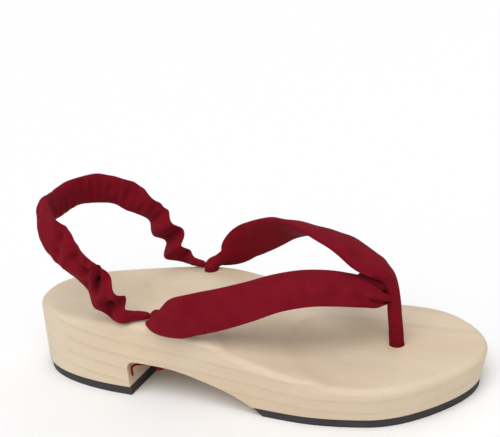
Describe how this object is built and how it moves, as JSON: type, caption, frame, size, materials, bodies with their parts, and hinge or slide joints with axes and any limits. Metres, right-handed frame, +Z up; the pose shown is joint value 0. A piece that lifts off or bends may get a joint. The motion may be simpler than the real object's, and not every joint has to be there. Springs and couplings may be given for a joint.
{
  "type": "geta sandal",
  "caption": "Right-foot wooden sandal with a raised heel block, black rubber treads, a padded crepe V strap with a toe post and a gathered band round the ankle.",
  "frame": {"origin": "middle of the heel's tread face, on the floor", "axes": "+X from heel to toe, +Y to the inner (big toe) side, +Z up"},
  "size_m": [0.24, 0.0987, 0.098],
  "materials": {
    "pale_wood": "plain sanded wood, unvarnished, with faint growth lines",
    "black_rubber": "matt black rubber",
    "crimson_crepe": "matt crinkled crepe cloth over soft padding"
  },
  "bodies": {
    "root": {"wooden_base": "pale_wood", "heel_rubber": "black_rubber", "forefoot_rubber": "black_rubber", "v_strap": "crimson_crepe", "back_band": "crimson_crepe", "outer_rear_knot": "crimson_crepe", "inner_rear_knot": "crimson_crepe", "front_knot": "crimson_crepe"}
  },
  "joints": []
}
